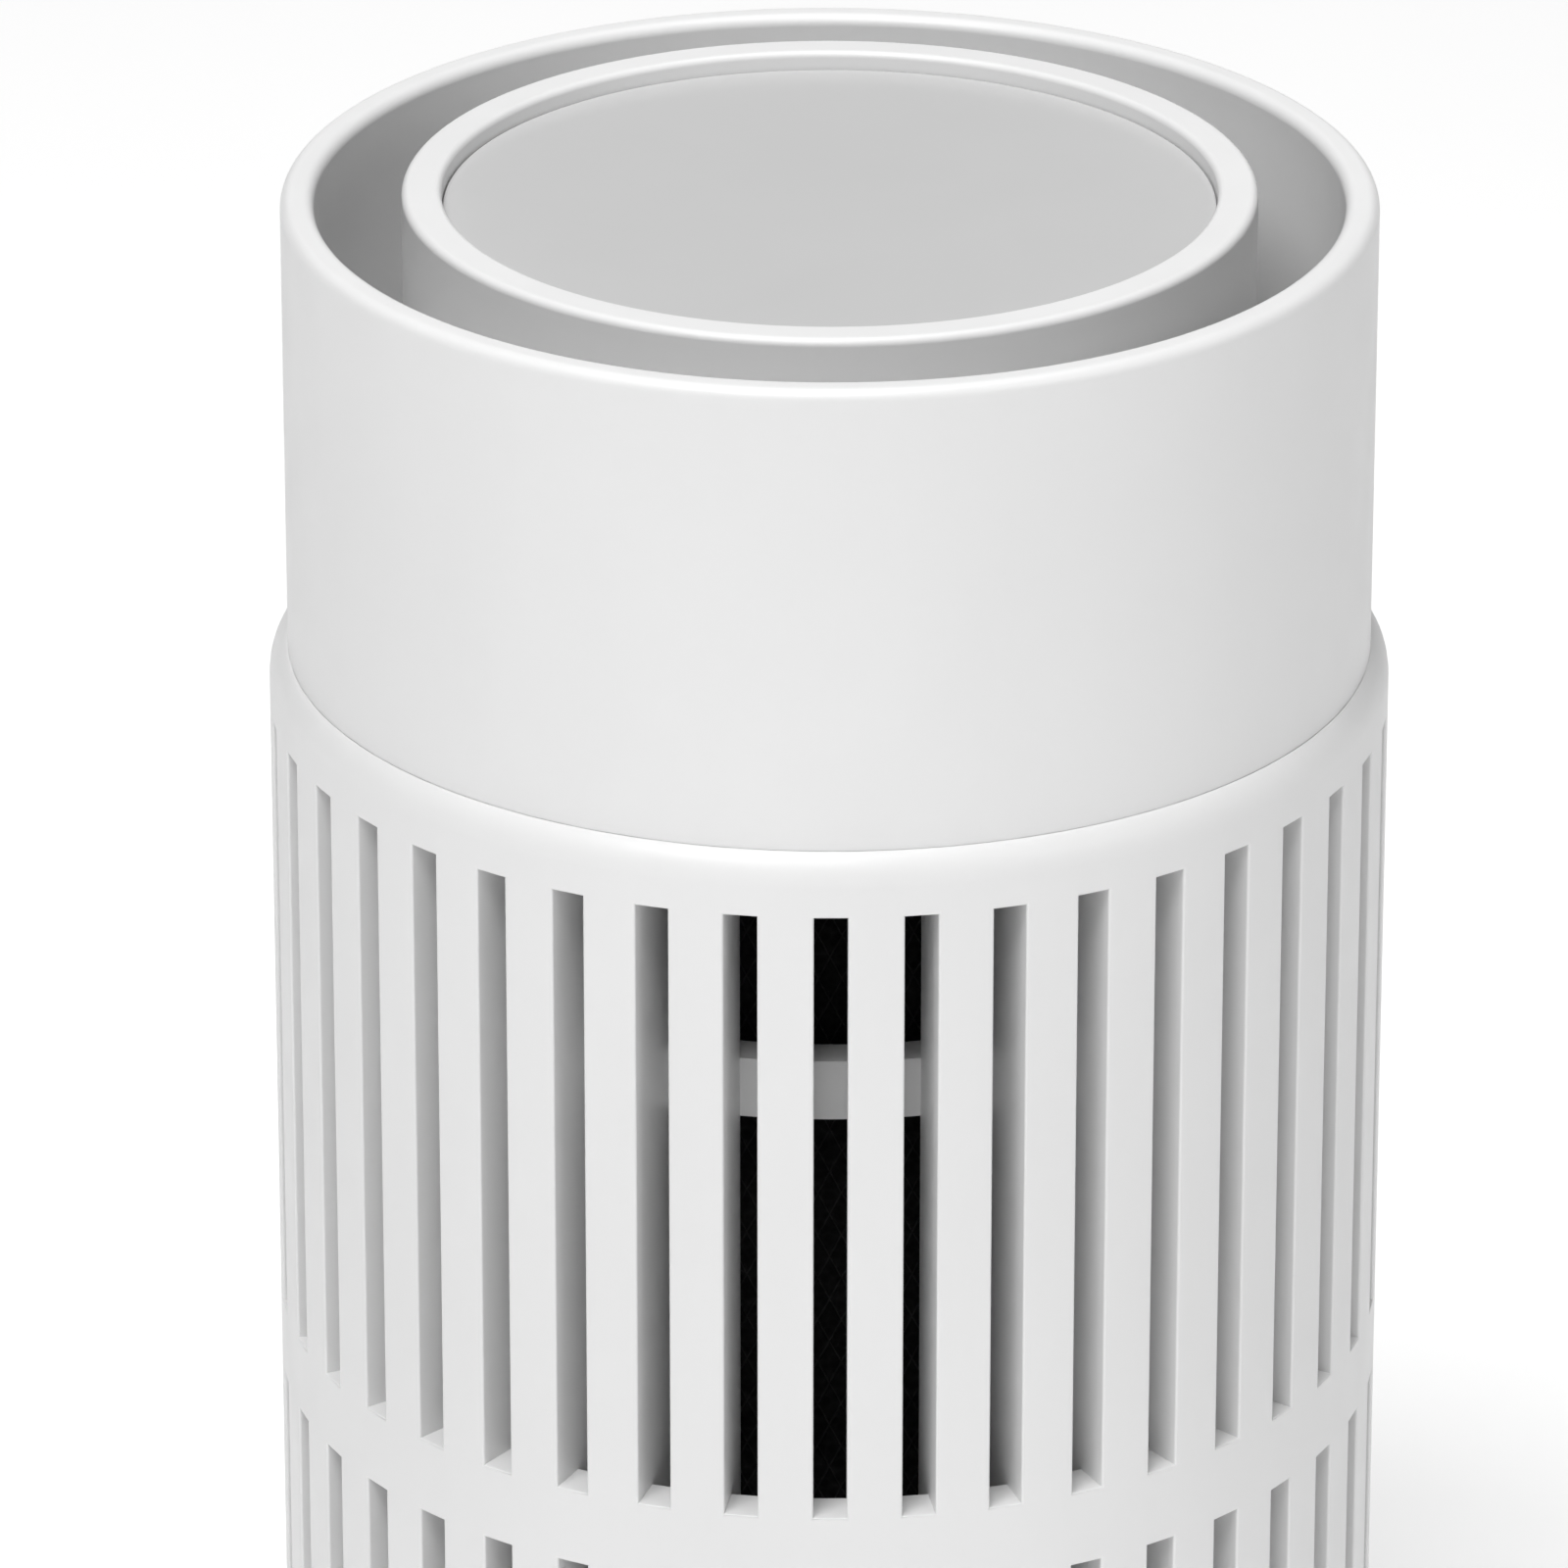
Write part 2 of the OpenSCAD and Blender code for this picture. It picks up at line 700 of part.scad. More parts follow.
module motor_bracket() {
    color("silver")
        difference() {
            union() {
                disc(can_r, bracket_z, hub_z);
                disc(tube_r, can_z + can_t + 1.5, hub_z);
            }
            disc(tube_in, 0, bracket_z);
            disc(shaft_d / 2 + 0.5, 0, body_h);
            around(3, 30) at(can_r * 0.75, bracket_z - cut) cylinder(d = pilot_d, h = bracket_t + 2 * cut);
            at(can_r * 0.55, bracket_z - cut) cylinder(r = 2, h = bracket_t + 2 * cut);
        }
}

module motor_screws() {
    color("silver") around(3, 30) at(can_r * 0.75, vane_top) rotate([180, 0, 0]) screw(hub_t + bracket_t - 0.5);
}

module motor_bearings() {
    color("lightgray")
        for (z = [can_z + can_t + 1.6, bracket_z - bearing_h - 0.1])
            tube(tube_in - bore_run, shaft_d / 2 + bore_run, z, z + bearing_h);
}

module motor_stator() {
    color("slategray")
        translate([0, 0, stator_z])
            linear_extrude(stator_top - stator_z)
                difference() {
                    union() {
                        circle(tube_r + 2.2);
                        intersection() {
                            circle(stator_r);
                            around(teeth) {
                                translate([0, -1.1]) square([stator_r + 1, 2.2]);
                                translate([stator_r - 1.8, -4.4]) square([3, 8.8]);
                            }
                        }
                    }
                    circle(tube_r + 0.05);
                }
}

module motor_coils() {
    coil_in = tube_r + 3;
    coil_out = stator_r - 2.4;
    color("#b5651d")
        around(teeth)
            difference() {
                translate([coil_in, -2.4, stator_z - 1.2])
                    cube([coil_out - coil_in, 4.8, stator_top - stator_z + 2.4]);
                translate([coil_in - cut, -1.2, stator_z - 0.1])
                    cube([coil_out - coil_in + 2 * cut, 2.4, stator_top - stator_z + 0.2]);
            }
}

module motor_lead() {
    color("#202020") at(can_r * 0.55, stator_top + 1.4) cylinder(r = 1.5, h = board_z - stator_top - 1.5);
}

module impeller() {
    color("#d9d9d9")
        difference() {
            union() {
                disc(can_r + hub_wall, impeller_z + 2.4, impeller_top);
                disc(can_r - 1, impeller_z + 0.4, impeller_z + 2.5);
                tube(impeller_r, can_r + 1, impeller_top - backplate_t, impeller_top);
                tube(impeller_r, inlet_r + 1.4 + run, impeller_z, impeller_z + shroud_t);
                around(blade_count) blade();
            }
            disc(can_r + 0.05, can_z, impeller_top + cut);
            disc(shaft_d / 2, can_z - 1.5, impeller_top);
        }
}

// Backward-curved blade: part of a thin upright tube, kept between two radii
module blade() {
    curve = impeller_r * 0.62;
    bow = impeller_r * 0.42;
    intersection() {
        tube(impeller_r, blade_in - 3.6, impeller_z + shroud_t - 0.2, impeller_top - backplate_t + 0.2);
        translate([impeller_r * 0.5, -bow, 0])
            tube(curve + blade_t / 2, curve - blade_t / 2, impeller_z, impeller_top);
        translate([can_r * 0.6, 0, impeller_z]) cube([impeller_r, impeller_r, impeller_top - impeller_z]);
    }
}

module rotor_can() {
    color("silver") {
        tube(can_r, can_r - can_t, can_z + can_t, can_top);
        tube(can_r, shaft_d / 2, can_z, can_z + can_t);
    }
}

module rotor_magnet() {
    color("#303030") tube(can_r - can_t, can_r - can_t - magnet_t, can_z + can_t + 1.5, can_top - 0.5);
}

module motor_shaft() {
    color("lightgray") disc(shaft_d / 2, can_z - 1.5, bracket_z + 1);
}

// ---------------------------------------------------------------- control pod

module pod_shell() {
    color("whitesmoke")
        difference() {
            union() {
                tube(pod_r, pod_r - pod_wall, vane_top, pod_seam - 0.1);
                around(4, 45) at(pod_boss_ring, vane_top) cylinder(d = 6, h = 8);
            }
            around(4, 45) at(pod_boss_ring, vane_top - cut) cylinder(d = pilot_d, h = 8);
        }
}

module pod_screws() {
    color("silver") around(4, 45) at(pod_boss_ring, hub_z) screw(9);
}

module control_ring() {
    color("whitesmoke")
        difference() {
            union() {
                rotate_extrude() control_ring_profile();
                around(4, 45) at(touch_screw_ring, panel_z - ledge_t - touch_gap) cylinder(d = 5, h = touch_gap + 0.1);
            }
            around(4, 45)
                at(touch_screw_ring, panel_z - ledge_t - touch_gap - cut) cylinder(d = pilot_d, h = touch_gap + cut + 1.4);
        }
}

module control_ring_profile() {
    bar_profile(panel_r, pod_r, panel_z - ledge_t, ring_top, 0.9, 1.1);
    translate([panel_r - ledge_w, panel_z - ledge_t]) square([ledge_w + 0.1, ledge_t]);
    translate([pod_r - pod_wall, pod_seam]) square([pod_wall, panel_z - ledge_t - pod_seam + 0.1]);
    translate([pod_r - 2 * pod_wall - fit / 2, pod_seam - lap])
        square([pod_wall - fit / 2, lap + panel_z - ledge_t - pod_seam + 0.1]);
    translate([pod_r - 2 * pod_wall - fit / 2, pod_seam]) square([pod_wall + 0.2, panel_z - ledge_t - pod_seam + 0.1]);
}

module control_panel() {
    color("silver") disc(panel_r - 0.15, panel_z, panel_top);
}

module touch_board() {
    color("darkgreen")
        difference() {
            disc(touch_r, touch_z, touch_z + touch_t);
            around(4, 45) at(touch_screw_ring, touch_z - cut) cylinder(d = screw_hole_d, h = touch_t + 2 * cut);
        }
}

// Conductive foam pads that carry each touch key up to the panel
module touch_pads() {
    color("#303030")
        for (key = [-2:2])
            rotate(FRONT + key * 30) at(panel_r * 0.55, touch_z + touch_t)
                cylinder(r = 4, h = panel_z - touch_z - touch_t - 0.05);
}

module touch_screws() {
    color("silver") around(4, 45) at(touch_screw_ring, touch_z) screw(touch_t + touch_gap + 1);
}

module indicator_leds() {
    color("ghostwhite")
        for (key = [-2:2])
            rotate(FRONT + key * 30)
                translate([panel_r * 0.72, -1, touch_z + touch_t]) cube([1.6, 2, 0.9]);
}

module main_board() {
    color("darkgreen")
        difference() {
            disc(board_r, board_z, board_z + board_t);
            around(4, board_angle) at(board_ring, board_z - cut) cylinder(d = screw_hole_d, h = board_t + 2 * cut);
        }
}

module board_parts() {
    top = board_z + board_t;
    color("#303030") {
        translate([-6, -6, top]) cube([12, 12, 1.8]);
        translate([-14, 17, top]) cube([12, 8, 5]);
        rotate(lead_angle) translate([lead_hole - 14, -4, top]) cube([8, 8, 5.5]);
        translate([8, -26, top]) cube([16, 7, 6]);
        translate([-22, -14, top]) cube([9, 9, 4]);
    }
    color("#404060")
        for (x = [14, 23]) translate([x, 8, top]) cylinder(d = 8, h = 11);
}

module board_screws() {
    color("silver") around(4, board_angle) at(board_ring, board_z + board_t) rotate([180, 0, 0]) screw(6);
}

module ribbon_cable() {
    z0 = board_z + board_t + 6;
    color("#e8e8e8") translate([10, -22.8, z0]) cube([12, 0.6, touch_z - z0]);
}

base_tray();
base_plate();
base_screws();
rubber_feet();
base_magnets();
filter_bottom_cap();
filter_core();
hepa_pleats();
carbon_sleeve();
filter_top_cap();
filter_gasket();
grille_sleeve();
tower_magnets();
dc_jack();
jack_nut();
dc_lead();
upper_collar();
inlet_deck();
inlet_guard();
deck_screws();
diffuser();
diffuser_screws();
motor_bracket();
motor_screws();
motor_bearings();
motor_stator();
motor_coils();
motor_lead();
main_board();
board_parts();
board_screws();
pod_shell();
pod_screws();
control_ring();
control_panel();
touch_board();
touch_pads();
touch_screws();
indicator_leds();
ribbon_cable();
impeller();
rotor_can();
rotor_magnet();
motor_shaft();
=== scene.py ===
"""Looks of the air purifier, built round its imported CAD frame."""
import math

import bmesh
import bpy
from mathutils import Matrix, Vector


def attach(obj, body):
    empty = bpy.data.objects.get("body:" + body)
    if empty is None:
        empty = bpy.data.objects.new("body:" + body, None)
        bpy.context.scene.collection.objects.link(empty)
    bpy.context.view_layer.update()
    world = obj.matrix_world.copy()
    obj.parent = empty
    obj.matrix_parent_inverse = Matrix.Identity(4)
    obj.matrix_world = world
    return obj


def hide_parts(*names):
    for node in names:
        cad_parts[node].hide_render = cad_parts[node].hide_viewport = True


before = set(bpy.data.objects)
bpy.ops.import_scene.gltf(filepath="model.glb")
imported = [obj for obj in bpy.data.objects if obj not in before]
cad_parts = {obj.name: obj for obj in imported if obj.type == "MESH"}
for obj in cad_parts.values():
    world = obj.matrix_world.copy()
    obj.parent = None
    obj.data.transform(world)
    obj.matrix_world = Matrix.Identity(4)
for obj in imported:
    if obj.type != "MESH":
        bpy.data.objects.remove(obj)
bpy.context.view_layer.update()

MM = 0.001
TAU = 2 * math.pi

# Sizes that the visual pieces share with the CAD part, in millimetres
BODY_R, SLEEVE_IN, FIN_IN = 75.0, 71.8, 61.5
COLLAR_R, COLLAR_IN, RIM_IN = 72.5, 69.9, 68.0
HOOP_IN, HOOP_OUT = 56.0, 61.7
SLOTS, SLOT_HALF, FIN_T, SILL_IN = 40, 2.2, 1.4, 69.1
FLANGE_T, FOOT_ROUND = 1.5, 0.4
SLEEVE_Z, DECK_Z, SLEEVE_TOP = 14.0, 214.7, 221.6
ROWS = ((29.9, 116.2), (126.9, 213.2))
HOOPS = ((81.6, 89.9), (178.6, 186.9))
SHOULDER_R, SHOULDER_Z = 5.1, 217.4
SKIRT_Z, VANE_TOP, RIM_TOP = 214.8, 251.0, 285.0
POD_R, POD_WALL, PANEL_R = 56.5, 2.2, 51.2
RING_TOP, POD_SEAM, PANEL_Z, PANEL_TOP = 285.8, 265.8, 281.3, 283.3
JACK_Z, JACK_HOLE_R, JACK_SEAT_R = 22.95, 4.1, 5.7
CARBON_R, CARBON_IN, CAP_R, CAP_IN = 54.0, 50.7, 55.0, 36.1
CARBON_Z, CARBON_TOP, CAP_Z, CAP_TOP = 18.4, 209.1, 16.0, 211.5
MAGNET_RING, MAGNET_R, FOOT_RING, FOOT_R = 68.0, 3.1, 57.0, 7.0
PILOT_R = 1.3
FRONT = -90.0


# ---------------------------------------------------------------- materials

class Nodes:
    """A material's node tree, with short calls to add and join nodes."""

    def __init__(self, name):
        self.material = bpy.data.materials.new(name)
        self.material.use_nodes = True
        self.tree = self.material.node_tree
        self.tree.nodes.clear()
        self.out = self.add("ShaderNodeOutputMaterial")
        self.shader = self.add("ShaderNodeBsdfPrincipled")
        self.join(self.shader.outputs["BSDF"], self.out.inputs["Surface"])
        self.place = self.add("ShaderNodeTexCoord").outputs["Object"]

    def add(self, kind, **values):
        node = self.tree.nodes.new(kind)
        for key, value in values.items():
            setattr(node, key, value)
        return node

    def join(self, a, b):
        self.tree.links.new(a, b)

    def math(self, operation, a, b=0.0):
        node = self.add("ShaderNodeMath", operation=operation)
        for socket, value in zip(node.inputs, (a, b)):
            if isinstance(value, (int, float)):
                socket.default_value = value
            else:
                self.join(value, socket)
        return node.outputs[0]

    def noise(self, scale, detail=3.0, roughness=0.5, stretch=None):
        node = self.add("ShaderNodeTexNoise")
        node.inputs["Scale"].default_value = scale
        node.inputs["Detail"].default_value = detail
        node.inputs["Roughness"].default_value = roughness
        source = self.place
        if stretch:
            mapping = self.add("ShaderNodeMapping")
            mapping.inputs["Scale"].default_value = stretch
            self.join(source, mapping.inputs["Vector"])
            source = mapping.outputs["Vector"]
        self.join(source, node.inputs["Vector"])
        return node.outputs["Fac"]

    def cells(self, scale, metric="EUCLIDEAN"):
        node = self.add("ShaderNodeTexVoronoi", feature="F1", distance=metric)
        node.inputs["Scale"].default_value = scale
        self.join(self.place, node.inputs["Vector"])
        return node.outputs["Distance"]

    def ramp(self, factor, *stops):
        """stops are (position, colour); a number stands for a grey."""
        node = self.add("ShaderNodeValToRGB")
        elements = node.color_ramp.elements
        while len(elements) < len(stops):
            elements.new(0.5)
        for element, (position, colour) in zip(elements, stops):
            element.position = position
            element.color = rgba(colour)
        self.join(factor, node.inputs["Fac"])
        return node.outputs["Color"]

    def spread(self, factor, low, high, start=0.3, end=0.7):
        node = self.add("ShaderNodeMapRange")
        for key, value in (("From Min", start), ("From Max", end), ("To Min", low), ("To Max", high)):
            node.inputs[key].default_value = value
        self.join(factor, node.inputs["Value"])
        return node.outputs["Result"]

    def bump(self, height, strength, distance, below=None):
        node = self.add("ShaderNodeBump")
        node.inputs["Strength"].default_value = strength
        node.inputs["Distance"].default_value = distance
        self.join(height, node.inputs["Height"])
        if below is not None:
            self.join(below, node.inputs["Normal"])
        return node.outputs["Normal"]

    def round_axis(self):
        """(angle round the Z axis in radians, height) of a point."""
        split = self.add("ShaderNodeSeparateXYZ")
        self.join(self.place, split.inputs[0])
        return self.math("ARCTAN2", split.outputs["Y"], split.outputs["X"]), split.outputs["Z"]

    def set(self, **values):
        for key, value in values.items():
            socket = self.shader.inputs[key.replace("_", " ")]
            if isinstance(value, bpy.types.NodeSocket):
                self.join(value, socket)
            else:
                socket.default_value = value
        return self.material


def rgba(colour):
    if isinstance(colour, (int, float)):
        return (colour, colour, colour, 1.0)
    return (*colour, 1.0)


def shade(colour, factor):
    if isinstance(colour, (int, float)):
        return colour * factor
    return tuple(c * factor for c in colour)


def moulded(name, colour, rough=(0.36, 0.46), grain=1800.0, depth=0.05, vary=0.02, specular=0.5):
    """Moulded plastic: faint flow tones, a fine etched grain and uneven gloss."""
    n = Nodes(name)
    tone = n.noise(18.0, 4.0, 0.55, stretch=(1.0, 1.0, 0.5))
    fine = n.noise(grain, 2.0, 0.6)
    wave = n.noise(55.0, 2.0, 0.5)
    normal = n.bump(wave, 0.05, 0.0004)
    return n.set(
        Base_Color=n.ramp(tone, (0.3, shade(colour, 1 - vary)), (0.7, shade(colour, 1 + vary))),
        Roughness=n.spread(n.noise(130.0, 3.0), *rough),
        Normal=n.bump(fine, depth, 0.00012, normal),
        Specular_IOR_Level=specular,
    )


def metal(name, colour, rough=(0.22, 0.36), grain=(900.0, 900.0, 60.0), depth=0.06):
    """Turned or rolled metal with fine drawn lines."""
    n = Nodes(name)
    lines = n.noise(1.0, 3.0, 0.6, stretch=grain)
    return n.set(
        Base_Color=n.ramp(n.noise(60.0, 3.0), (0.3, shade(colour, 0.88)), (0.7, colour)),
        Roughness=n.spread(lines, *rough),
        Normal=n.bump(lines, depth, 0.00008),
        Metallic=1.0,
    )


def soft(name, colour, cell, depth=0.35, rough=(0.82, 0.95)):
    """Rubber or foam: an open or granular skin."""
    n = Nodes(name)
    pores = n.cells(cell)
    return n.set(
        Base_Color=n.ramp(pores, (0.0, shade(colour, 0.55)), (0.6, colour)),
        Roughness=n.spread(n.noise(300.0), *rough),
        Normal=n.bump(pores, depth, 0.0003),
        Specular_IOR_Level=0.25,
    )


def carbon_cloth():
    """Black granular carbon under a fine diagonal net."""
    strands_round, net_pitch = 108.0, 3.1
    n = Nodes("carbon_net")
    angle, height = n.round_axis()
    around = n.math("MULTIPLY", angle, strands_round / 2)
    up = n.math("MULTIPLY", height, 1000.0 * math.pi / net_pitch)
    strands = [
        n.math("ABSOLUTE", n.math("SINE", n.math("ADD", around, n.math("MULTIPLY", up, side))))
        for side in (0.5, -0.5)
    ]
    net = n.math("MINIMUM", *strands)
    grains = n.cells(900.0)
    strand = n.spread(net, 1.0, 0.0, 0.0, 0.22)
    tone = n.math("ADD", n.math("MULTIPLY", strand, 0.55), n.math("MULTIPLY", grains, 0.5))
    return n.set(
        Base_Color=n.ramp(tone, (0.15, 0.003), (0.95, 0.034)),
        Roughness=n.spread(grains, 0.65, 0.95, 0.0, 0.8),
        Normal=n.bump(strand, 0.5, 0.0005, n.bump(grains, 0.4, 0.0004)),
        Specular_IOR_Level=0.12,
    )


def paper():
    n = Nodes("filter_paper")
    fibres = n.noise(900.0, 5.0, 0.7, stretch=(1.0, 1.0, 0.35))
    return n.set(
        Base_Color=n.ramp(fibres, (0.3, (0.66, 0.65, 0.62)), (0.7, (0.84, 0.83, 0.80))),
        Roughness=n.spread(fibres, 0.85, 0.97),
        Normal=n.bump(fibres, 0.35, 0.0002),
    )


def circuit_board():
    n = Nodes("circuit_board")
    tracks = n.cells(420.0, metric="CHEBYCHEV")
    cloth = n.noise(2400.0, 2.0)
    edge = n.spread(tracks, 0.0, 1.0, 0.42, 0.5)
    return n.set(
        Base_Color=n.ramp(edge, (0.0, (0.006, 0.075, 0.026)), (1.0, (0.012, 0.13, 0.05))),
        Roughness=n.spread(cloth, 0.28, 0.4),
        Normal=n.bump(edge, 0.25, 0.0001, n.bump(cloth, 0.05, 0.0001)),
    )


def lamination():
    n = Nodes("lamination")
    _, height = n.round_axis()
    sheets = n.math("ABSOLUTE", n.math("SINE", n.math("MULTIPLY", height, math.pi * 2000.0)))
    return n.set(
        Base_Color=n.ramp(sheets, (0.1, (0.12, 0.13, 0.14)), (0.5, (0.34, 0.35, 0.37))),
        Roughness=n.spread(n.noise(300.0), 0.35, 0.5),
        Normal=n.bump(sheets, 0.3, 0.0001),
        Metallic=0.8,
    )


def copper():
    n = Nodes("copper_winding")
    _, height = n.round_axis()
    turns = n.math("ABSOLUTE", n.math("SINE", n.math("MULTIPLY", height, math.pi * 2500.0)))
    return n.set(
        Base_Color=n.ramp(turns, (0.05, (0.16, 0.045, 0.015)), (0.5, (0.72, 0.27, 0.11))),
        Roughness=n.spread(n.noise(500.0), 0.25, 0.4),
        Normal=n.bump(turns, 0.5, 0.00015),
        Metallic=0.9,
    )


def ribbon():
    n = Nodes("ribbon_cable")
    split = n.add("ShaderNodeSeparateXYZ")
    n.join(n.place, split.inputs[0])
    wires = n.math("ABSOLUTE", n.math("SINE", n.math("MULTIPLY", split.outputs["X"], math.pi * 1000.0)))
    return n.set(
        Base_Color=n.ramp(wires, (0.1, (0.30, 0.31, 0.33)), (0.5, (0.60, 0.61, 0.63))),
        Roughness=n.spread(n.noise(200.0), 0.4, 0.55),
        Normal=n.bump(wires, 0.5, 0.0002),
    )


def led():
    n = Nodes("led_lens")
    glow = n.noise(400.0, 2.0)
    return n.set(
        Base_Color=n.ramp(glow, (0.3, (0.78, 0.80, 0.76)), (0.7, (0.92, 0.93, 0.88))),
        Roughness=n.spread(glow, 0.12, 0.22),
        Specular_IOR_Level=0.6,
    )


MATERIALS = {
    "white_shell": moulded("white_shell", 0.80, grain=1100.0, depth=0.04),
    # the same white plastic as white_shell, painted darker (0.70 against 0.80) for the parts inside the
    # tower: painted shade; it is also rougher, with a deeper grain
    "white_inner": moulded("white_inner", 0.70, rough=(0.42, 0.55), grain=1300.0, depth=0.08, vary=0.03),
    "grey_panel": moulded("grey_panel", 0.545, rough=(0.30, 0.36), grain=900.0, depth=0.015, vary=0.012),
    "dark_cap": moulded("dark_cap", 0.010, rough=(0.5, 0.65), grain=1200.0, depth=0.12, vary=0.25,
                        specular=0.25),
    "carbon": carbon_cloth(),
    "paper": paper(),
    "foam": soft("foam", (0.05, 0.05, 0.052), 1400.0, 0.5),
    "rubber": soft("rubber", (0.035, 0.035, 0.036), 2600.0, 0.15, rough=(0.6, 0.75)),
    "steel": metal("steel", (0.56, 0.57, 0.58)),
    "magnet": metal("magnet", (0.66, 0.66, 0.67), rough=(0.12, 0.22), depth=0.03),
    "ferrite": moulded("ferrite", (0.045, 0.046, 0.05), rough=(0.5, 0.65), grain=1500.0, depth=0.2,
                       vary=0.2),
    "lamination": lamination(),
    "copper": copper(),
    "aluminium": metal("aluminium", (0.78, 0.79, 0.80), rough=(0.3, 0.42)),
    "circuit_board": circuit_board(),
    "component": moulded("component", (0.03, 0.03, 0.033), rough=(0.4, 0.6), grain=1500.0, depth=0.15,
                         vary=0.3),
    "cable": moulded("cable", (0.02, 0.02, 0.021), rough=(0.45, 0.6), grain=900.0, depth=0.1,
                     vary=0.25),
    "ribbon": ribbon(),
    "led": led(),
}


# ---------------------------------------------------------------- mesh helpers

def finish_mesh(name, bm, slot, body, nodes, crease=50.0):
    """Turns a bmesh in millimetres into a smooth-shaded piece that rides on a body."""
    bmesh.ops.recalc_face_normals(bm, faces=bm.faces)
    bmesh.ops.scale(bm, vec=(MM, MM, MM), verts=bm.verts)
    mesh = bpy.data.meshes.new(name)
    bm.to_mesh(mesh)
    bm.free()
    mesh.shade_smooth()
    mesh.set_sharp_from_angle(angle=math.radians(crease))
    mesh.materials.append(MATERIALS[slot])
    piece = bpy.data.objects.new(name, mesh)
    bpy.context.scene.collection.objects.link(piece)
    weighted = piece.modifiers.new("even_shading", "WEIGHTED_NORMAL")
    weighted.keep_sharp = True
    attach(piece, body)
    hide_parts(*nodes)
    return piece


def rounded(corners, steps=5):
    """Outline through corners (r, z) or (r, z, radius), with each radius turned into an arc."""
    outline = []
    for i, corner in enumerate(corners):
        p = Vector(corner[:2])
        radius = corner[2] if len(corner) > 2 else 0
        if not radius:
            outline.append(tuple(p))
            continue
        a = (Vector(corners[i - 1][:2]) - p).normalized()
        b = (Vector(corners[(i + 1) % len(corners)][:2]) - p).normalized()
        half = a.angle(b) / 2
        centre = p + (a + b).normalized() * (radius / math.sin(half))
        start = p + a * (radius / math.tan(half)) - centre
        end = p + b * (radius / math.tan(half)) - centre
        turn = start.angle(end)
        for k in range(steps + 1):
            t = k / steps
            s = (start * math.sin((1 - t) * turn) + end * math.sin(t * turn)) / math.sin(turn)
            outline.append(tuple(centre + s))
    return outline


def turned(bm, outline, segments=256, at=(0.0, 0.0), axis="Z"):
    """Adds the closed outline of (r, z) points, turned round an upright axis or one along Y."""
    rings = []
    for r, z in outline:
        ring = []
        for k in range(segments if r > 1e-6 else 1):
            a = TAU * k / segments
            x, y = r * math.cos(a), r * math.sin(a)
            point = (at[0] + x, at[1] + y, z) if axis == "Z" else (at[0] + x, z, at[1] + y)
            ring.append(bm.verts.new(point))
        rings.append(ring)
    for i, ring in enumerate(rings):
        other = rings[(i + 1) % len(rings)]
        for k in range(segments):
            loop = [ring[k % len(ring)], ring[(k + 1) % len(ring)],
                    other[(k + 1) % len(other)], other[k % len(other)]]
            loop = list(dict.fromkeys(loop))
            if len(loop) > 2:
                bm.faces.new(loop)


def cut(piece, cutter):
    """Takes the bmesh cutter, in millimetres, out of a piece for good."""
    bmesh.ops.recalc_face_normals(cutter, faces=cutter.faces)
    bmesh.ops.scale(cutter, vec=(MM, MM, MM), verts=cutter.verts)
    mesh = bpy.data.meshes.new("cutter")
    cutter.to_mesh(mesh)
    cutter.free()
    tool = bpy.data.objects.new("cutter", mesh)
    bpy.context.scene.collection.objects.link(tool)
    boolean = piece.modifiers.new("cut", "BOOLEAN")
    boolean.operation = "DIFFERENCE"
    boolean.solver = "EXACT"
    boolean.object = tool
    piece.modifiers.move(piece.modifiers.find("cut"), 0)
    weighted = piece.modifiers["even_shading"]
    weighted.show_viewport = False
    done = bpy.data.meshes.new_from_object(piece.evaluated_get(bpy.context.evaluated_depsgraph_get()))
    piece.modifiers.remove(boolean)
    weighted.show_viewport = True
    old, piece.data = piece.data, done
    done.name = piece.name
    bpy.data.meshes.remove(old)
    bpy.data.objects.remove(tool)
    bpy.data.meshes.remove(mesh)


def polar(radius, degrees):
    return radius * math.cos(math.radians(degrees)), radius * math.sin(math.radians(degrees))


def lathe(name, slot, body, nodes, outline, segments=256, extra=None):
    """A piece turned round the upright axis, with whatever extra() adds to its mesh."""
    bm = bmesh.new()
    turned(bm, outline, segments)
    if extra:
        extra(bm)
    return finish_mesh(name, bm, slot, body, nodes)


# ---------------------------------------------------------------- slotted sleeve

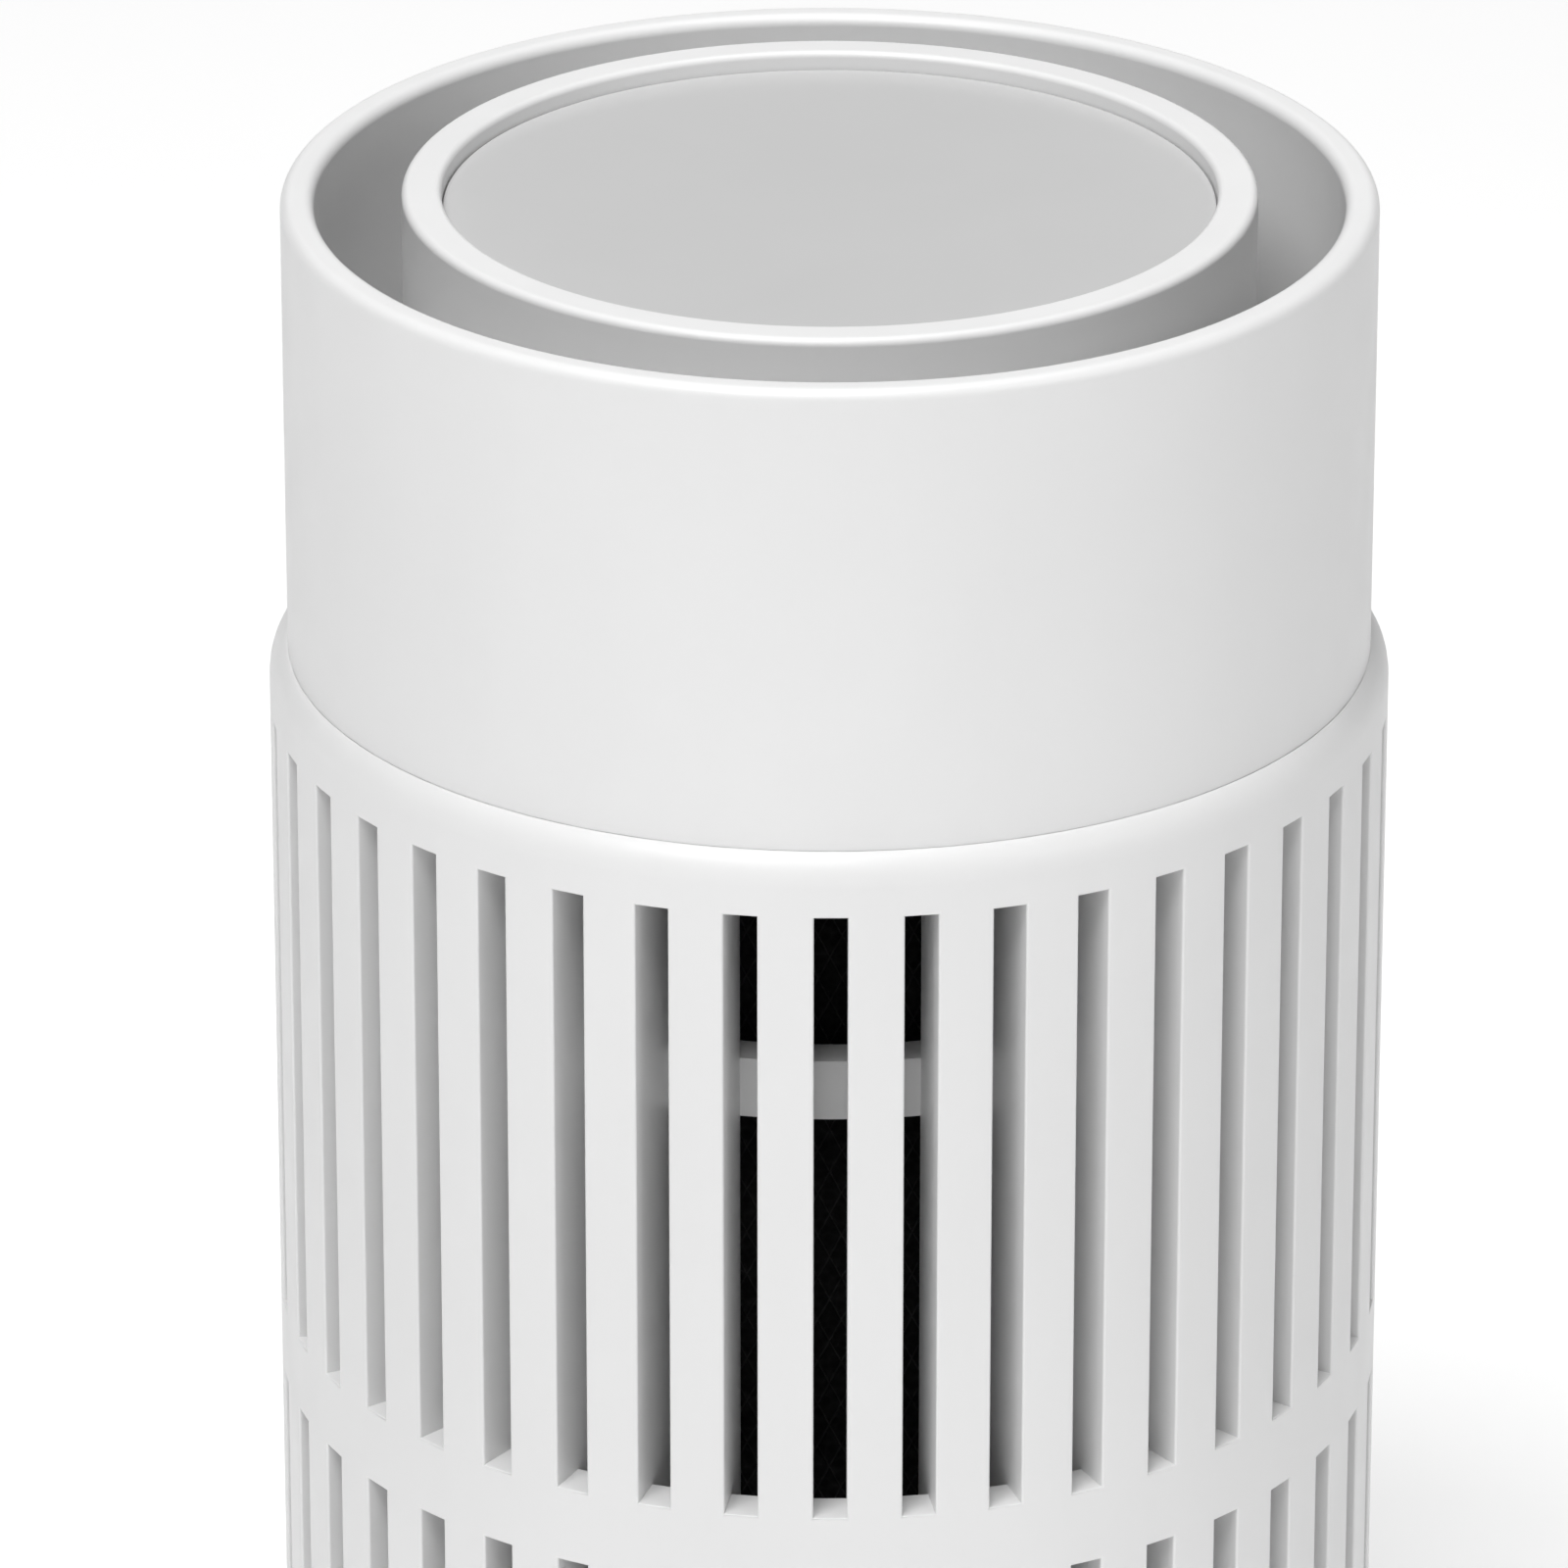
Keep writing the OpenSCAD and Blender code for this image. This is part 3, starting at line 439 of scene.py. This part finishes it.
def sleeve():
    """The slotted sleeve as one skin: five columns of faces to each slot's pitch."""
    per, edge_round, socket_fit = 5, 0.35, 0.3
    bm = bmesh.new()
    pitch = TAU / SLOTS
    out_a = math.asin(SLOT_HALF / BODY_R)
    rib = (pitch - 2 * out_a) / 4
    columns = {"out": (-out_a, out_a, out_a + rib, out_a + 2 * rib, out_a + 3 * rib)}
    for family, r in (("sill", SILL_IN), ("mid", SLEEVE_IN), ("in", FIN_IN)):
        near, far = math.asin(SLOT_HALF / r), math.asin((SLOT_HALF + FIN_T) / r)
        columns[family] = (-near, near, far, pitch / 2, pitch - far)
    made = {}

    def vert(ring, column):
        family, r, z = ring
        column %= per * SLOTS
        key = (family, round(r, 4), round(z, 4), column)
        if key not in made:
            k, j = divmod(column, per)
            a = math.radians(FRONT) + k * pitch + columns[family][j]
            made[key] = bm.verts.new((r * math.cos(a), r * math.sin(a), z))
        return made[key]

    def outer(z):
        return ("out", BODY_R, z)

    def sill(z):
        return ("sill", SILL_IN, z)

    def mid(z):
        return ("mid", SLEEVE_IN, z)

    def inner(z):
        return ("in", FIN_IN, z)

    def face(k, *corners):
        bm.faces.new([vert(ring, per * k + j) for ring, j in corners])

    def strip(a, b, js=range(per)):
        for k in range(SLOTS):
            for j in js:
                face(k, (a, j), (a, j + 1), (b, j + 1), (b, j))

    def upright(low, high, ring_a, ring_b, js):
        for k in range(SLOTS):
            for j in js:
                face(k, (ring_a(low), j), (ring_b(low), j), (ring_b(high), j), (ring_a(high), j))

    # outer skin, with the slots left open
    levels = [SLEEVE_Z + FOOT_ROUND] + [z for row in ROWS for z in row]
    for low, high in zip(levels, levels[1:]):
        strip(outer(low), outer(high), range(1, per) if (low, high) in ROWS else range(per))
    end = math.acos((SHOULDER_R - BODY_R + COLLAR_R + socket_fit) / SHOULDER_R)
    arc = [("out", BODY_R - SHOULDER_R + SHOULDER_R * math.cos(t * end / 8),
            SHOULDER_Z + SHOULDER_R * math.sin(t * end / 8)) for t in range(9)]
    arc[-1] = ("out", arc[-1][1], SLEEVE_TOP)
    strip(outer(levels[-1]), arc[0])
    for low, high in zip(arc, arc[1:]):
        strip(low, high)

    # socket for the collar, and the flange under it
    socket_top, socket = ("mid", COLLAR_R, SLEEVE_TOP), ("mid", COLLAR_R, DECK_Z)
    strip(arc[-1], socket_top)
    strip(socket_top, socket)
    strip(socket, inner(DECK_Z))
    strip(inner(DECK_Z), inner(ROWS[1][1]))

    # fins from the foot flange to the top one, and the hollows of the ribs between them
    foot = ROWS[0][0] - FLANGE_T
    rises = [foot] + [z for row in ROWS for z in row]
    for low, high in zip(rises, rises[1:]):
        upright(low, high, sill, inner, (0, 1))
        if (low, high) in ROWS:
            upright(low, high, outer, sill, (0, 1))
        else:
            strip(sill(low), sill(high), (0,))
        if low == foot:
            strip(inner(low), inner(high), range(1, per))
        else:
            strip(inner(low), inner(high), (1, 4))
            strip(mid(low), mid(high), (2, 3))
            upright(low, high, inner, mid, (2, 4))
    for z in (rises[1], rises[-1]):
        strip(inner(z), mid(z), (2, 3))
    for low, high in ROWS:
        for z in (low, high):
            strip(sill(z), outer(z), (0,))
    strip(inner(rises[-1]), sill(rises[-1]), (0,))

    # underside of the foot flange, and the plain wall below it
    strip(sill(foot), mid(foot), (0,))
    strip(inner(foot), mid(foot), (2, 3))
    for k in range(SLOTS):
        face(k, (sill(foot), 1), (inner(foot), 1), (inner(foot), 2), (mid(foot), 2), (mid(foot), 1))
        face(k, (inner(foot), 4), (inner(foot), 5), (sill(foot), 5), (mid(foot), 5), (mid(foot), 4))
    under = [mid(foot), mid(levels[0])]
    for t in (0.33, 0.67, 1.0):
        dip = FOOT_ROUND * math.cos(t * math.pi / 2), FOOT_ROUND * (1 - math.sin(t * math.pi / 2))
        under.append(("mid", SLEEVE_IN + FOOT_ROUND - dip[0], SLEEVE_Z + dip[1]))
    for t in (1.0, 0.67, 0.33):
        dip = FOOT_ROUND * math.cos(t * math.pi / 2), FOOT_ROUND * (1 - math.sin(t * math.pi / 2))
        under.append(("out", BODY_R - FOOT_ROUND + dip[0], SLEEVE_Z + dip[1]))
    under.append(outer(levels[0]))
    for a, b in zip(under, under[1:]):
        strip(a, b)

    # soft edges round each slot's mouth
    soft_edges = set()

    def soften(ring_a, ring_b, k, i, j):
        soft_edges.add(bm.edges.get([vert(ring_a, per * k + i), vert(ring_b, per * k + j)]))

    for k in range(SLOTS):
        for low, high in ROWS:
            for j in (0, 1):
                soften(outer(low), outer(high), k, j, j)
            for z in (low, high):
                soften(outer(z), outer(z), k, 0, 1)
    bmesh.ops.bevel(bm, geom=list(soft_edges), offset=edge_round, segments=3, profile=0.5,
                    affect="EDGES", clamp_overlap=True, offset_type="OFFSET")

    piece = finish_mesh("sleeve", bm, "white_shell", "tower", ["grille_sleeve"])
    seat_y = 73.6
    jack_hole = bmesh.new()
    turned(jack_hole, [(0, 60), (JACK_HOLE_R, 60), (JACK_HOLE_R, seat_y), (JACK_SEAT_R, seat_y),
                       (JACK_SEAT_R, 80), (0, 80)], 64, (0, JACK_Z), "Y")
    cut(piece, jack_hole)


def sleeve_hoops():
    """The sleeve's hoops, magnet bosses and jack seat, as bodies moulded on."""
    bm = bmesh.new()
    for low, high in HOOPS:
        turned(bm, rounded([(HOOP_IN, low, 0.4), (HOOP_OUT, low), (HOOP_OUT, high),
                            (HOOP_IN, high, 0.4)], 3))
    for k in range(4):
        turned(bm, rounded([(0, 21), (4.7, 21, 0.4), (4.7, 16), (MAGNET_R, 16), (MAGNET_R, 19), (0, 19)], 3),
               48, polar(MAGNET_RING, 45 + 90 * k))
    turned(bm, rounded([(JACK_HOLE_R, 69.5), (6.2, 69.5, 0.4), (6.2, 72.4), (JACK_HOLE_R, 72.4)], 3),
           64, (0, JACK_Z), "Y")
    # the hoops and bosses take the inner white, which is the shell plastic painted darker: painted shade
    finish_mesh("sleeve_hoops", bm, "white_inner", "tower", ["grille_sleeve"])


sleeve()
sleeve_hoops()


# ---------------------------------------------------------------- collar, ring, panel and pod

def collar_bosses(bm):
    for k in range(4):
        turned(bm, rounded([(PILOT_R, 242.8), (3.1, 242.8, 0.3), (3.1, 251.6), (0, 251.6),
                            (0, 250.4), (PILOT_R, 250.4)], 3),
               48, polar(67.1, 22.5 + 90 * k))


lathe("collar", "white_shell", "tower", ["upper_collar"],
      rounded([(COLLAR_IN, VANE_TOP), (COLLAR_IN, SKIRT_Z, 0.3), (COLLAR_R - 0.1, SKIRT_Z, 0.3),
               (COLLAR_R - 0.1, SLEEVE_TOP), (COLLAR_R, SLEEVE_TOP + 0.1), (COLLAR_R, RIM_TOP, 1.6),
               (RIM_IN, RIM_TOP, 1.6), (RIM_IN, VANE_TOP)], 8),
      segments=320, extra=collar_bosses)

# the ring's skirt, which laps inside the pod's wall, and its ledge under the panel
skirt_out = POD_R - POD_WALL - 0.15
skirt_in = skirt_out - 2.05
ledge_in = PANEL_R - 6.7


def ring_bosses(bm):
    for k in range(4):
        turned(bm, rounded([(PILOT_R, 277.65), (2.5, 277.65, 0.25), (2.5, 279.4), (PILOT_R, 279.4)], 3),
               32, polar(47, 45 + 90 * k))


lathe("ring", "white_shell", "tower", ["control_ring"],
      rounded([(ledge_in, PANEL_Z, 0.2), (PANEL_R, PANEL_Z), (PANEL_R, RING_TOP, 0.9),
               (POD_R, RING_TOP, 1.1), (POD_R, POD_SEAM, 0.15), (skirt_out, POD_SEAM),
               (skirt_out, POD_SEAM - 6, 0.3), (skirt_in, POD_SEAM - 6, 0.3),
               (skirt_in, PANEL_Z - 2), (ledge_in, PANEL_Z - 2, 0.2)], 8),
      segments=320, extra=ring_bosses)

lathe("panel", "grey_panel", "tower", ["control_panel"],
      rounded([(0, PANEL_Z), (PANEL_R - 0.15, PANEL_Z), (PANEL_R - 0.15, PANEL_TOP, 0.25),
               (0, PANEL_TOP)], 4))


def pod_bosses(bm):
    for k in range(4):
        turned(bm, rounded([(PILOT_R, VANE_TOP), (3.0, VANE_TOP), (3.0, VANE_TOP + 8, 0.3),
                            (PILOT_R, VANE_TOP + 8)], 3),
               32, polar(POD_R - POD_WALL - 3, 45 + 90 * k))


lathe("pod_wall", "white_shell", "tower", ["pod_shell"],
      rounded([(POD_R - POD_WALL, VANE_TOP), (POD_R, VANE_TOP), (POD_R, POD_SEAM - 0.1, 0.15),
               (POD_R - POD_WALL, POD_SEAM - 0.1)], 3),
      segments=320, extra=pod_bosses)


# ---------------------------------------------------------------- base

def base():
    """The plinth with its filter rim and magnet pockets, the screw posts under it and the feet."""
    under, plinth_r, step_r, rim_out, rim_in = 71.0, 73.5, 71.3, 57.0, 55.2
    foot_z, floor_z, top, step, rim = 2.5, 10.5, 13.0, 16.0, 22.0
    tray = lathe("base_plinth", "white_shell", "base", ["base_tray"],
                 rounded([(0, floor_z), (under, floor_z, 0.6), (under, foot_z), (plinth_r, foot_z, 0.4),
                          (plinth_r, top, 1.0), (step_r, top), (step_r, step, 0.5), (rim_out, step),
                          (rim_out, rim, 0.6), (rim_in, rim, 0.6), (rim_in, step), (0, step)], 5),
                 segments=320)
    holes = bmesh.new()
    for k in range(4):
        turned(holes, [(0, top), (MAGNET_R, top), (MAGNET_R, 15.8), (3.4, 16.1), (3.4, 17), (0, 17)],
               48, polar(MAGNET_RING, 45 + 90 * k))
    cut(tray, holes)
    bm = bmesh.new()
    for k in range(4):
        turned(bm, rounded([(PILOT_R, 5.5), (3.5, 5.5, 0.3), (3.5, 11.2), (PILOT_R, 11.2)], 3),
               40, polar(FOOT_RING, 90 * k))
    finish_mesh("base_posts", bm, "white_shell", "base", ["base_tray"])
    bm = bmesh.new()
    for k in range(4):
        turned(bm, rounded([(0, 0), (6.4, 0, 0.7), (FOOT_R, 0.9, 0.4), (FOOT_R, 3.5), (0, 3.5)], 3),
               64, polar(FOOT_RING, 45 + 90 * k))
    finish_mesh("feet", bm, "rubber", "base", ["rubber_feet"])


base()


def filter_cover():
    """The carbon layer between its two caps, with the caps' rolled rims."""
    lip_in, lip_bottom, lip_top = 54.2, 23.4, 204.1
    lathe("carbon_wrap", "carbon", "base", ["carbon_sleeve"],
          rounded([(CARBON_IN, CARBON_Z), (CARBON_R, CARBON_Z, 0.6), (CARBON_R, CARBON_TOP, 0.6),
                   (CARBON_IN, CARBON_TOP)], 3), segments=320)
    lathe("cap_bottom", "dark_cap", "base", ["filter_bottom_cap"],
          rounded([(0, CAP_Z), (CAP_R, CAP_Z, 0.5), (CAP_R, lip_bottom, 0.35), (lip_in, lip_bottom, 0.2),
                   (lip_in, CARBON_Z), (0, CARBON_Z)], 4))
    lathe("cap_top", "dark_cap", "base", ["filter_top_cap"],
          rounded([(CAP_IN, CARBON_TOP), (lip_in, CARBON_TOP), (lip_in, lip_top, 0.2),
                   (CAP_R, lip_top, 0.35), (CAP_R, CAP_TOP, 0.9), (CAP_IN, CAP_TOP, 0.9)], 5))


filter_cover()


# ---------------------------------------------------------------- materials of the CAD nodes that stay

PLAIN = {
    # the inner white is the shell plastic painted darker for parts inside the tower: painted shade
    "white_inner": ("base_plate", "filter_core", "inlet_deck", "diffuser", "impeller"),
    "dark_cap": ("dc_jack",),
    "paper": ("hepa_pleats",),
    "foam": ("filter_gasket", "touch_pads"),
    "steel": ("base_screws", "jack_nut", "inlet_guard", "deck_screws", "diffuser_screws", "motor_screws",
              "motor_bearings", "board_screws", "pod_screws", "touch_screws", "rotor_can", "motor_shaft"),
    "magnet": ("base_magnets", "tower_magnets"),
    "ferrite": ("rotor_magnet",),
    "lamination": ("motor_stator",),
    "copper": ("motor_coils",),
    "aluminium": ("motor_bracket",),
    "circuit_board": ("main_board", "touch_board"),
    "component": ("board_parts",),
    "cable": ("dc_lead", "motor_lead"),
    "ribbon": ("ribbon_cable",),
    "led": ("indicator_leds",),
}
for slot, names in PLAIN.items():
    for name in names:
        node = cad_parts[name]
        for material_slot in node.material_slots:
            material_slot.material = MATERIALS[slot]


# ---------------------------------------------------------------- stage, light and camera

def floor():
    """A plain pale floor that glows a little, and more where the lights no longer reach."""
    n = Nodes("studio_floor")
    paper_tone = n.noise(3.0, 2.0)
    away = n.add("ShaderNodeVectorMath", operation="LENGTH")
    n.join(n.place, away.inputs[0])
    material = n.set(
        Base_Color=n.ramp(paper_tone, (0.3, 0.955), (0.7, 0.965)),
        Roughness=n.spread(paper_tone, 0.9, 0.95),
        Emission_Color=(1.0, 1.0, 1.0, 1.0),
        Emission_Strength=n.spread(away.outputs["Value"], 0.21, 0.5, 1.2, 2.6),
        Specular_IOR_Level=0.0,
    )
    mesh = bpy.data.meshes.new("floor")
    half = 12.0
    corners = [(-half, -half, 0), (half, -half, 0), (half, half, 0), (-half, half, 0)]
    mesh.from_pydata(corners, [], [(0, 1, 2, 3)])
    mesh.materials.append(material)
    piece = bpy.data.objects.new("floor", mesh)
    bpy.context.scene.collection.objects.link(piece)


def area_light(name, place, aim, size, power):
    data = bpy.data.lights.new(name, "AREA")
    data.shape = "RECTANGLE"
    data.size, data.size_y = size
    data.energy = power
    light = bpy.data.objects.new(name, data)
    light.location = place
    light.rotation_euler = (Vector(aim) - Vector(place)).to_track_quat("-Z", "Y").to_euler()
    bpy.context.scene.collection.objects.link(light)


floor()
area_light("key", (-0.6, -1.5, 2.8), (0, 0, 0.2), (1.6, 0.9), 55.0)
area_light("top", (0.0, 0.0, 2.8), (0, 0, 0.2), (1.6, 1.6), 39.0)
area_light("front_fill", (-0.5, -2.4, 2.0), (0, 0, 0.2), (2.0, 1.2), 4.5)
area_light("right_fill", (2.0, -1.7, 1.8), (0, 0, 0.2), (1.2, 1.2), 8.0)
area_light("back_fill", (0.0, 2.6, 0.7), (0, 0, 0.15), (1.6, 0.8), 2.5)

world = bpy.data.worlds.new("studio")
world.use_nodes = True
background = world.node_tree.nodes["Background"]
background.inputs["Color"].default_value = (1.0, 1.0, 1.0, 1.0)
background.inputs["Strength"].default_value = 0.05
bpy.context.scene.world = world

camera_data = bpy.data.cameras.new("camera")
camera_data.sensor_width = 36.0
camera_data.lens = 267.7
camera_data.clip_end = 50.0
camera = bpy.data.objects.new("camera", camera_data)
camera.location = (-0.00604, -1.4416, 0.8255)
camera.rotation_euler = (math.radians(90 - 23.47), 0.0, 0.0)
bpy.context.scene.collection.objects.link(camera)
bpy.context.scene.camera = camera

view = bpy.context.scene.view_settings
view.view_transform = "Standard"
view.look = "None"
view.exposure = 0.0
view.gamma = 1.0

bpy.context.view_layer.update()
